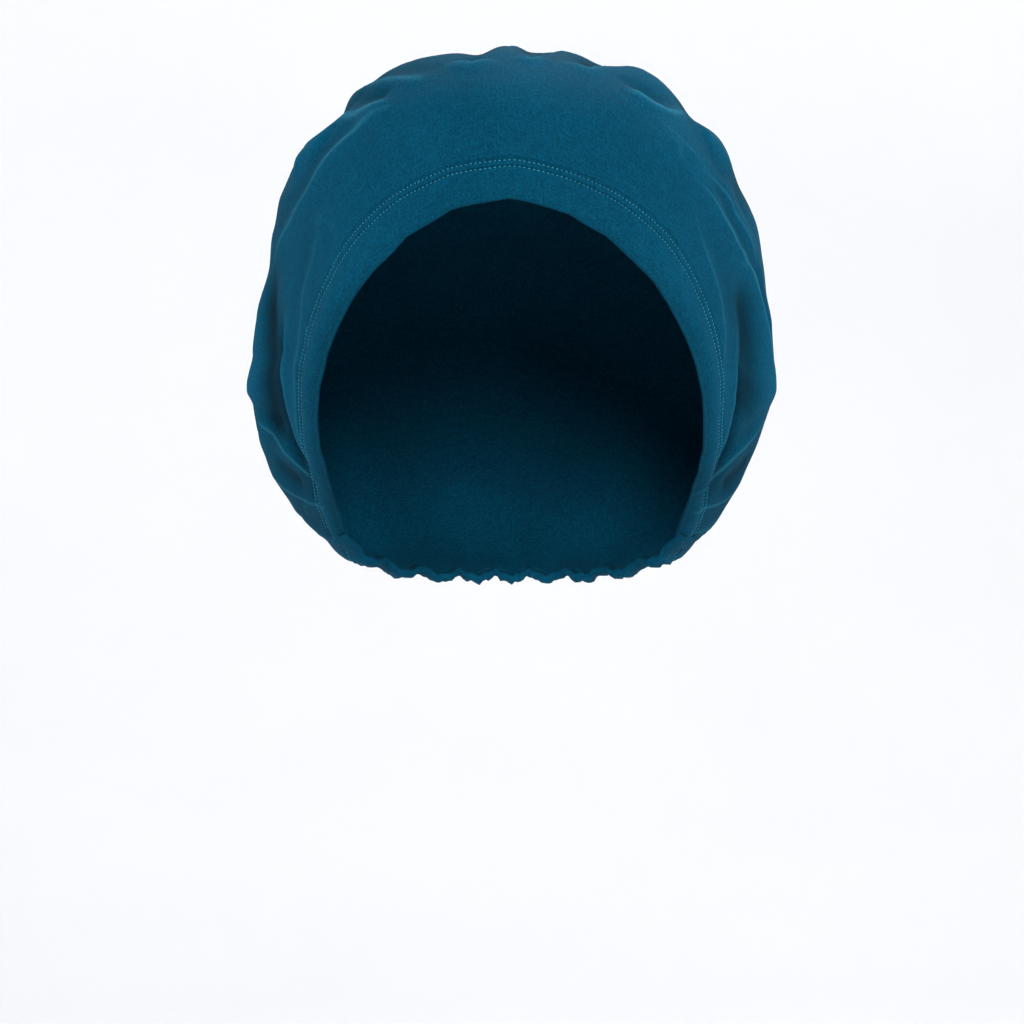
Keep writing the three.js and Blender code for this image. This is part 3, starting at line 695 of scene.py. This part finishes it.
tealCloth = wovenCloth("tealCrownCloth", (0.0012, 0.055, 0.104))
tealHem = wovenCloth("tealHemCloth", (0.0012, 0.057, 0.107), stitches["hemRows"])
tealCasing = wovenCloth("tealCasingCloth", (0.0012, 0.053, 0.1), stitches["casingRows"])
tealThread = threadMaterial("tealStitchThread", (0.03, 0.24, 0.34))
print("materials made")

crown = {
    "columns": 460, "rings": 160,                # both even, because the inside has half as many
    "browGap": 0.95, "sideGap": 0.5, "napeGap": 1.6,
    "startLength": 15.9, "lastRing": 0.985,
    "wall": 1.2,
}


def placesBy(fine, density, shares):
    grown = np.concatenate([[0], np.cumsum((density[1:] + density[:-1]) / 2)])
    return np.interp(shares * grown[-1], grown, fine)


# Columns lie closer together at the sides, where the folds are finest
def columnTurns(count):
    fine = np.linspace(-180, 180, 7201)
    beside, behind = smoothStep(30, 46, np.abs(fine)), smoothStep(122, 136, np.abs(fine))
    density = (1 - beside) / crown["browGap"] + beside * (1 - behind) / crown["sideGap"]
    density = density + behind / crown["napeGap"]
    return placesBy(fine, density, np.arange(count) / count)


# Rings lie closer together near the hem
def ringShares(count):
    fine = np.linspace(0, 1, 4001)
    density = 1 / (0.35 + 1.05 * smoothStep(0.28, 0.6, fine))
    return placesBy(fine, density, np.arange(count) / (count - 1)) * crown["lastRing"]


# Centimetres of cloth: along the ring from the brow, and up from the hem's edge
def clothMap(points, lengths, turns):
    middle = int(np.argmin(np.abs(turns)))
    across = np.linalg.norm(np.diff(points, axis=1), axis=-1)
    grown = np.concatenate([np.zeros((points.shape[0], 1)), np.cumsum(across, axis=1)], axis=1)
    return np.stack([(grown - grown[:, middle:middle + 1]) / 10, lengths / 10], -1)


# painted shade in fold valleys and painted highlight on crests, less the other painted shade
def paintedShadeAndHighlight(cloth):
    return np.clip(cloth["lift"] / (0.75 * cap["foldDepth"]) - cloth["shaded"], *foldShadeRange)


# A face from its corners, each a point's number and its place on the cloth
def addFace(faces, spots, *corners):
    faces.append([number for number, spot in corners])
    spots.extend(spot for number, spot in corners)


turns = columnTurns(crown["columns"])


def buildCrown():
    columns, rings = crown["columns"], crown["rings"]
    total = meridians(turns)[1][-1]
    start = crown["startLength"]
    lengths = start + ringShares(rings)[:, None] * (total - start)
    cloth = layCloth(turns, lengths)
    outer, lift = cloth["point"], cloth["lift"]
    deepest = lift.copy()                                  # the inside keeps clear of every narrow valley
    for shift in (-1, 1):
        deepest = np.minimum(deepest, np.roll(lift, shift, axis=1))
    deepest[1:] = np.minimum(deepest[1:], deepest[:-1])
    deepest[:-1] = np.minimum(deepest[:-1], deepest[1:])
    inner = outer - cloth["normal"] * (crown["wall"] + lift - deepest)[..., None]
    inner = inner[::2, ::2]
    coarse, half = inner.shape[:2]
    pole = plainSkin(np.array(0.0), np.array(1.0))
    poleNormal = unit(cloth["normal"][-1].mean(0))
    points = np.vstack([
        outer.reshape(-1, 3), pole[None], inner.reshape(-1, 3), (pole - poleNormal * crown["wall"])[None],
    ])
    outerMap = clothMap(outer, lengths, turns)
    seam = np.linalg.norm(outer[:, 0] - outer[:, -1], axis=-1) / 10
    outerMap = np.concatenate([outerMap, outerMap[:, -1:] + np.stack([seam, 0 * seam], -1)[:, None]], axis=1)
    innerMap = outerMap[::2, ::2]
    top = columns * rings
    base = top + 1
    poleHigh = total.mean() / 10
    faces, spots = [], []

    def outerAt(ring, column):
        return ring * columns + column % columns, outerMap[ring, column]

    def innerAt(ring, column):
        return base + ring * half + column % half, innerMap[ring, column]

    for ring in range(rings - 1):
        for column in range(columns):
            addFace(faces, spots, outerAt(ring, column), outerAt(ring, column + 1),
                    outerAt(ring + 1, column + 1), outerAt(ring + 1, column))
    for column in range(columns):
        here, there = outerAt(rings - 1, column), outerAt(rings - 1, column + 1)
        addFace(faces, spots, here, there, (top, (here[1][0], poleHigh)))
    for ring in range(coarse - 1):
        for column in range(half):
            addFace(faces, spots, innerAt(ring, column + 1), innerAt(ring, column),
                    innerAt(ring + 1, column), innerAt(ring + 1, column + 1))
    for column in range(half):                    # the inside's closed end, and the rim between the two sides
        here, there = innerAt(coarse - 1, column), innerAt(coarse - 1, column + 1)
        addFace(faces, spots, there, here, (len(points) - 1, (here[1][0], poleHigh)))
        first, second, third = (outerAt(0, 2 * column + step) for step in range(3))
        here, there = innerAt(0, column), innerAt(0, column + 1)
        addFace(faces, spots, second, first, here)
        addFace(faces, spots, third, second, here)
        addFace(faces, spots, third, here, there)
    tone = paintedShadeAndHighlight(cloth)
    tone = np.concatenate([tone.ravel(), [0], tone[::2, ::2].ravel() * 0.3, [0]])
    worn = np.concatenate([cloth["worn"].ravel(), np.zeros(len(points) - top)])
    item = meshObject("crown_cloth", points, faces, tealCloth, spots, {"paintedShadeAndHighlight": tone, "creaseWearAndHighlight": worn})
    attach(item, "root")
    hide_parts("crown")
    return item


hem = {
    "wall": 2.2, "puff": 0.45, "rowLengths": stitches["hemRows"], "groove": 0.17, "grooveWidth": 0.55,
    "roll": 1.2, "rollReach": 7.0,               # at the sides the edge turns in towards the face
    # the edge value is a shadow painted along the hem's turned edge at the sides
    "sidePuff": 1.1, "thinner": 0.42, "edgeShadow": -0.9, "pucker": 0.13, "ripple": 0.22,
    "endTurn": 129.4,                            # the hem runs on a little under the casing's ends
    "stitchTurns": (-127.2, 127.2), "threadSize": 1.0,
    "inside": ((1.7, -2.2), (3.0, -2.3), (5.0, -2.35), (8.0, -2.3), (11.0, -2.2), (13.2, -2.05), (14.0, -1.95),
               (14.2, -1.5), (16.4, -1.35)),
}
casing = {
    "wall": 3.0, "puff": 0.75, "rowLengths": stitches["casingRows"], "groove": 0.35, "grooveWidth": 0.6,
    "overHem": 0.45, "thinner": 0.0, "edgeShadow": 0.0, "ruffle": 0.42,
    "startTurn": 128.2,
    "stitchTurns": (129.5, 230.5), "threadSize": 1.1,
    "inside": ((1.9, -3.0), (4.0, -3.15), (7.5, -3.2), (11.0, -3.1), (13.4, -2.8), (14.4, -2.3), (14.7, -1.7),
               (16.4, -1.5)),
}
bandLengths = np.array([
    16.35, 15.9, 15.6, 15.3, 15.0, 14.6, 14.2, 13.7, 13.25, 12.9, 12.55, 12.1, 11.4, 10.4, 9.2, 8.0, 6.8, 5.6,
    4.5, 3.6, 2.8, 2.2, 1.7, 1.3,
])


# The outside of a band, then round its rolled edge, then its inside
def bandProfile(band):
    out = band["puff"] * smoothStep(0.6, 3.2, bandLengths) * (1 - smoothStep(10.6, 12.7, bandLengths))
    rowCount = len(band["rowLengths"])
    between = bandLengths - sum(band["rowLengths"]) / rowCount
    out += 0.14 * (rowCount - 1) * np.exp(-((between / 0.7) ** 2))           # cloth swells between two rows
    for row in band["rowLengths"]:
        out -= band["groove"] * np.exp(-((bandLengths - row) / band["grooveWidth"]) ** 2)
    out += np.where(bandLengths > 16.1, -0.3, 0) - 0.015 * (bandLengths > 15.7)
    half = band["wall"] / 2
    bend = np.radians([70, 45, 20, -5, -30, -55, -80])
    roll = np.stack([1.15 - 1.15 * np.cos(bend), -half + half * np.sin(bend)], -1)
    return np.vstack([np.stack([bandLengths, out], -1), roll, np.array(band["inside"])])


def buildBand(name, band, bandTurns, material, extra):
    profile = bandProfile(band)
    lengths = np.broadcast_to(profile[:, :1], (len(profile), len(bandTurns)))
    cloth = layCloth(bandTurns, lengths)
    aside = np.abs(bandTurns)
    sides = band["thinner"] * smoothStep(38, 66, aside) * (1 - smoothStep(112, 128, aside))
    under = (np.arange(len(profile)) >= len(bandLengths))[:, None]
    out = profile[:, 1:] * (1 - sides * under) + extra(bandTurns[None, :], lengths)
    points = cloth["point"] + cloth["normal"] * out[..., None]
    rows, columns = lengths.shape
    walk = np.concatenate([[0], np.cumsum(np.linalg.norm(np.diff(profile, axis=0), axis=1))])
    walked = np.broadcast_to((bandLengths[0] - walk)[:, None], lengths.shape)
    bandMap = clothMap(points, walked, wrapTurn(bandTurns))
    bandMap = np.concatenate([bandMap, bandMap[:1] - [0, (walk[-1] + 1) / 10]])
    faces, spots = [], []

    def bandAt(row, column):
        return row % rows * columns + column, bandMap[row, column]

    for row in range(rows):
        for column in range(columns - 1):
            addFace(faces, spots, bandAt(row, column), bandAt(row + 1, column),
                    bandAt(row + 1, column + 1), bandAt(row, column + 1))
    for column, order in ((0, 1), (columns - 1, -1)):          # close both ends
        addFace(faces, spots, *[bandAt(row, column) for row in range(rows)][::order])
    tone = paintedShadeAndHighlight(cloth) * 0.6
    # painted shadow along the hem's turned edge and its low part at the sides
    edgeShadowMask = np.exp(-((walk - walk[len(bandLengths) + 4]) / 1.6) ** 2)[:, None]
    edgeShadowMask += 0.55 * np.exp(-((profile[:, :1] - 1.2) / 2.6) ** 2) * (1 - under)
    tone = tone + band["edgeShadow"] * edgeShadowMask * smoothStep(30, 66, aside)
    tones = {"paintedShadeAndHighlight": tone, "creaseWearAndHighlight": cloth["worn"] * (1 - under)}
    item = meshObject(name, points.reshape(-1, 3), faces, material, spots, tones)
    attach(item, "root")
    return item


# Small puckers that the stitching draws into the two layers, soft ripples and the turned edge
def hemExtra(turn, length):
    pucker = np.sin(turn * 2.1 + 1.4 * np.sin(turn / 5)) * np.sin(turn * 0.83 + 1)
    near = np.exp(-((length - 14.1) / 2.6) ** 2)
    ripple = np.sin(turn * 0.37 + 0.6) * np.sin(turn * 0.21 + length / 7)
    rolled = hem["roll"] * smoothStep(38, 72, np.abs(turn))
    rolled = rolled * (1 - smoothStep(0, hem["rollReach"], length)) ** 1.5
    ripples = hem["ripple"] * ripple * smoothStep(1, 5, length) * (1 - smoothStep(11, 13, length))
    fuller = hem["sidePuff"] * smoothStep(40, 75, np.abs(turn)) * np.exp(-((length - 6.5) / 3.2) ** 2)
    return hem["pucker"] * pucker * near + ripples + fuller - rolled


# Short ruffles that the elastic draws across its tunnel
def casingExtra(turn, length):
    away = turn - 180
    ruffle = np.sin(away * 1.9 + 1.5 * np.sin(away / 7)) + 0.6 * np.sin(away * 3.3 + 1.1 * np.sin(away / 4) + 1)
    low = smoothStep(0.5, 4, length) * (1 - smoothStep(12.2, 14.4, length))
    over = casing["overHem"] * smoothStep(46, 51, np.abs(away)) * (1 - smoothStep(14.9, 15.9, length))
    return casing["ruffle"] * ruffle * low + over


def buildBands():
    front = turns[np.abs(turns) < hem["endTurn"]]
    hemTurns = np.concatenate([[-hem["endTurn"]], front, [hem["endTurn"]]])
    item = buildBand("brow_hem", hem, hemTurns, tealHem, hemExtra)
    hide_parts("front_hem")
    around = np.concatenate([turns[turns > casing["startTurn"]], turns[turns < -casing["startTurn"]] + 360])
    casingTurns = np.concatenate([[casing["startTurn"]], around, [360 - casing["startTurn"]]])
    extraTurns = np.sort(np.concatenate([casingTurns, (casingTurns[1:] + casingTurns[:-1]) / 2]))
    other = buildBand("elastic_casing", casing, extraTurns, tealCasing, casingExtra)
    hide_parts("nape_casing")
    return item, other


# A row of stitches, each a short thread that comes up out of the cloth and goes down again
def stitchRow(band, rowLength, extra, chance):
    fromTurn, toTurn = band["stitchTurns"]
    fine = np.linspace(fromTurn, toTurn, 1400)
    line = layCloth(fine, np.full((1, len(fine)), rowLength))
    grown = np.concatenate([[0], np.cumsum(np.linalg.norm(np.diff(line["point"][0], axis=0), axis=1))])
    grown -= np.interp(0 if fromTurn < 0 else 180, fine, grown)
    pitch, sink, stand = stitches["pitch"], stitches["sink"], stitches["stand"]
    middle = (np.arange(math.ceil(grown[0] / pitch), math.floor(grown[-1] / pitch)) + 0.5) * pitch
    count = len(middle)
    middle = middle + chance.normal(0, stitches["jitter"], count)
    depth = np.interp(rowLength, bandLengths[::-1], bandProfile(band)[:len(bandLengths), 1][::-1])
    rings, sides = 5, 6
    points = np.zeros((count, rings, sides, 3))
    dash = stitches["dash"] * band["threadSize"] * chance.uniform(0.9, 1.1, count)
    skew = chance.normal(0, 0.05, count)
    for ring in range(rings):
        part = ring / (rings - 1) * 2 - 1
        turn = np.interp(middle + part * dash / 2, grown, fine)
        length = rowLength + skew * part + 0.03 * np.sin(middle * 0.7)
        cloth = layCloth(turn, length[None])
        out = depth + extra(turn, length) + stand - (stand + sink) * part**4
        centre = cloth["point"][0] + cloth["normal"][0] * out[:, None]
        thick = stitches["radius"] * band["threadSize"] * (1 - 0.3 * part**2)
        for side in range(sides):
            angle = 2 * math.pi * side / sides
            points[:, ring, side] = centre + thick * (
                math.cos(angle) * cloth["up"][0] + math.sin(angle) * cloth["normal"][0])
    return points


def stitchObject(name, rows):
    points = np.concatenate(rows)
    count, rings, sides, _ = points.shape
    faces = []
    for stitch in range(count):
        start = stitch * rings * sides
        for ring in range(rings - 1):
            for side in range(sides):
                after = (side + 1) % sides
                here, there = start + ring * sides, start + (ring + 1) * sides
                faces.append((here + side, here + after, there + after, there + side))
        faces.append(tuple(start + side for side in range(sides))[::-1])
        faces.append(tuple(start + (rings - 1) * sides + side for side in range(sides)))
    item = meshObject(name, points.reshape(-1, 3), faces, tealThread)
    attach(item, "root")
    return item


def sewStitches():
    chance = np.random.default_rng(stitches["seed"])
    rows = [stitchRow(hem, length, hemExtra, chance) for length in hem["rowLengths"]]
    onHem = stitchObject("hem_stitches", rows)
    rows = [stitchRow(casing, length, casingExtra, chance) for length in casing["rowLengths"]]
    onCasing = stitchObject("casing_stitches", rows)
    return onHem, onCasing


crownPiece = buildCrown()
print("crown made:", len(crownPiece.data.polygons), "faces")
hemPiece, casingPiece = buildBands()
print("hem and casing made:", len(hemPiece.data.polygons), len(casingPiece.data.polygons), "faces")
hemThread, casingThread = sewStitches()
print("stitches sewn:", len(hemThread.data.polygons), len(casingThread.data.polygons), "faces")

view = {"distance": 1.8, "height": -0.1616, "seenWidth": 0.4096}


def placeCamera():
    data = bpy.data.cameras.new("photoCamera")
    data.sensor_fit = "HORIZONTAL"
    data.angle = 2 * math.atan(view["seenWidth"] / 2 / view["distance"])
    data.clip_start, data.clip_end = 0.05, 60
    camera = bpy.data.objects.new("photoCamera", data)
    camera.location = (0, -view["distance"], view["height"])
    camera.rotation_euler = (math.pi / 2, 0, 0)
    bpy.context.scene.collection.objects.link(camera)
    bpy.context.scene.camera = camera


studio = {
    "floorHeight": -0.62, "wallDepth": 3.4, "bend": 1.1, "halfWidth": 6.0, "front": -0.4, "top": 5.0,
    "paper": (0.9, 0.91, 0.925),
    "wallGlow": 0.112,                               # the wall is lit from behind like a light box
    "floorGlow": 0.08,
    "worldColour": (0.94, 0.96, 1.0), "worldStrength": 0.18,
    "keyPlace": (0.25, -2.8, 1.1), "keySize": 1.1, "keyPower": 80,
    "leftPlace": (-2.3, -0.95, 0.6), "leftSize": 1.2, "leftPower": 56,
    "rightPlace": (2.3, -0.95, 0.6), "rightSize": 1.2, "rightPower": 60,
    "topPlace": (0.3, 1.3, 1.7), "topSize": 1.0, "topPower": 38,
    "lampsAim": (0, 0, -0.08),
}


# Floor and wall in one sheet of paper, bent where they meet
def buildSweep():
    floor, wall, bend, steps = studio["floorHeight"], studio["wallDepth"], studio["bend"], 16
    line = [(studio["front"], floor), (wall - bend, floor)]
    for step in range(1, steps + 1):
        angle = math.pi / 2 * step / steps
        line.append((wall - bend + bend * math.sin(angle), floor + bend - bend * math.cos(angle)))
    line.append((wall, studio["top"]))
    points, faces = [], []
    for y, z in line:
        points += [(-studio["halfWidth"], y, z), (studio["halfWidth"], y, z)]
    for step in range(len(line) - 1):
        faces.append((2 * step, 2 * step + 1, 2 * step + 3, 2 * step + 2))
    paper = bpy.data.materials.new("palePaper")
    paper.use_nodes = True
    tree = paper.node_tree
    shader = tree.nodes["Principled BSDF"]
    place = addNode(tree, "ShaderNodeTexCoord").outputs["Object"]
    mottle = noiseOf(tree, place, 3.0, 2.0)
    tinted = mixColour(
        tree, "MULTIPLY", 1.0, (*studio["paper"], 1.0), grey(tree, rangeOf(tree, mottle, 0.3, 0.7, 0.99, 1.01)))
    joinNodes(tree, tinted, shader.inputs["Base Color"])
    shader.inputs["Roughness"].default_value = 0.9
    height = addNode(tree, "ShaderNodeSeparateXYZ")
    joinNodes(tree, place, height.inputs["Vector"])
    glow = rangeOf(tree, height.outputs["Z"], floor, floor + 0.5, studio["floorGlow"], studio["wallGlow"])
    shader.inputs["Emission Color"].default_value = (0.98, 0.985, 1.0, 1.0)
    joinNodes(tree, glow, shader.inputs["Emission Strength"])
    sweep = meshObject("studio_sweep", np.array(points) / millimetre, faces, paper)


def addLamp(name):
    lamp = bpy.data.lights.new(name + "Lamp", "AREA")
    lamp.shape = "DISK"
    lamp.size, lamp.energy = studio[name + "Size"], studio[name + "Power"]
    item = bpy.data.objects.new(name + "Lamp", lamp)
    item.location = studio[name + "Place"]
    towards = Vector(studio["lampsAim"]) - Vector(studio[name + "Place"])
    item.rotation_euler = towards.to_track_quat("-Z", "Y").to_euler()
    bpy.context.scene.collection.objects.link(item)


def lightStudio():
    world = bpy.data.worlds.new("paleWorld")
    bpy.context.scene.world = world
    world.use_nodes = True
    sky = world.node_tree.nodes["Background"]
    sky.inputs["Color"].default_value = (*studio["worldColour"], 1.0)
    sky.inputs["Strength"].default_value = studio["worldStrength"]
    for name in ("key", "left", "right", "top"):
        addLamp(name)


placeCamera()
buildSweep()
lightStudio()
bpy.context.scene.view_settings.view_transform = "Standard"      # colours as they are, with no film curve
print("camera, sweep and lamps placed")
